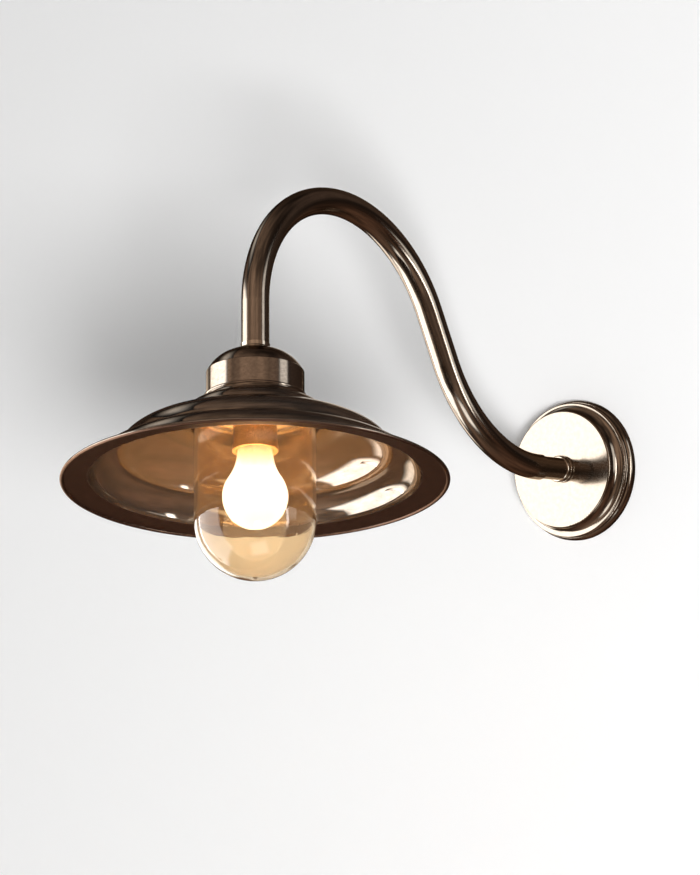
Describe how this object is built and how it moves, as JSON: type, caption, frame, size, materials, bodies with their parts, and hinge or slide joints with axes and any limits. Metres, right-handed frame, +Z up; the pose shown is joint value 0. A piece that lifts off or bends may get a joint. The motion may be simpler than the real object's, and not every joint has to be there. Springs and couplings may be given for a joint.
{
  "type": "gooseneck wall sconce",
  "caption": "Wall light with a bent gooseneck arm, a stepped and coved shade, a round-bottomed clear glass jar over a bulb, and a round wall canopy.",
  "frame": {"origin": "centre of the mounting plate's back face, on the wall", "axes": "+Y into the wall, so the sconce reaches out along -Y; +Z up; +X to the right of a viewer who faces the wall"},
  "size_m": [0.3556, 0.6904, 0.3886],
  "materials": {
    "aged_nickel": "polished brass with darkened nickel plate",
    "zinc_steel": "zinc plated",
    "raw_brass": "bare turned brass",
    "porcelain": "white glazed porcelain",
    "insulation_black": "satin",
    "insulation_white": "satin",
    "insulation_green": "satin",
    "rubber": "matt",
    "seeded_glass": "clear blown glass, faintly amber, with seeds",
    "bulb_glass": "clear, lit warm white",
    "bulb_cap_aluminium": "pressed, bright",
    "black_glass": "black vitrite",
    "solder": "tinned",
    "tungsten": "drawn wire"
  },
  "bodies": {
    "fixture": {"mounting_plate": "zinc_steel", "socket_screws": "zinc_steel", "earth_screw": "zinc_steel", "cap_nut": "zinc_steel", "holder_nut": "zinc_steel", "gallery_screws": "zinc_steel", "gallery_nuts": "zinc_steel", "arm_socket": "raw_brass", "tube_plug": "raw_brass", "nipple": "raw_brass", "screw_shell": "raw_brass", "centre_contact": "raw_brass", "terminal_screws": "raw_brass", "earth_tag": "raw_brass", "arm_stub": "aged_nickel", "arm_tube": "aged_nickel", "head_collar": "aged_nickel", "cap": "aged_nickel", "shade": "aged_nickel", "gallery": "aged_nickel", "lampholder_cap": "aged_nickel", "lampholder_shell": "aged_nickel", "lampholder_ring": "aged_nickel", "terminal_block": "porcelain", "lampholder_core": "porcelain", "lead_live": "insulation_black", "lead_neutral": "insulation_white", "lead_earth": "insulation_green", "glass_gasket": "rubber"},
    "canopy": {"canopy": "aged_nickel", "canopy_washer": "aged_nickel"},
    "collar": {"lock_collar": "aged_nickel"},
    "jar": {"glass_jar": "seeded_glass"},
    "ring": {"glass_ring": "aged_nickel"},
    "bulb": {"bulb_glass": "bulb_glass", "bulb_cap": "bulb_cap_aluminium", "bulb_insulator": "black_glass", "bulb_contact": "solder", "bulb_stem": "bulb_glass", "bulb_filament": "tungsten"}
  },
  "joints": [
    {"name": "canopy_slide", "type": "slide", "parent": "fixture", "child": "canopy", "axis": [0, -1, 0], "range_m": [0, 0.03]},
    {"name": "collar_turn", "type": "hinge", "parent": "canopy", "child": "collar", "pos_m": [0, -0.0332, 0], "axis": [0, -1, 0], "range_deg": [0, 720]},
    {"name": "jar_drop", "type": "slide", "parent": "fixture", "child": "jar", "axis": [0, -0.1822, -0.9833], "range_m": [0, 0.12]},
    {"name": "ring_turn", "type": "hinge", "parent": "jar", "child": "ring", "pos_m": [0, -0.50477, 0.01799], "axis": [0, -0.1822, -0.9833], "range_deg": [0, 540]},
    {"name": "bulb_turn", "type": "hinge", "parent": "fixture", "child": "bulb", "pos_m": [0, -0.50659, 0.00816], "axis": [0, -0.1822, -0.9833], "range_deg": [0, 1080]}
  ]
}
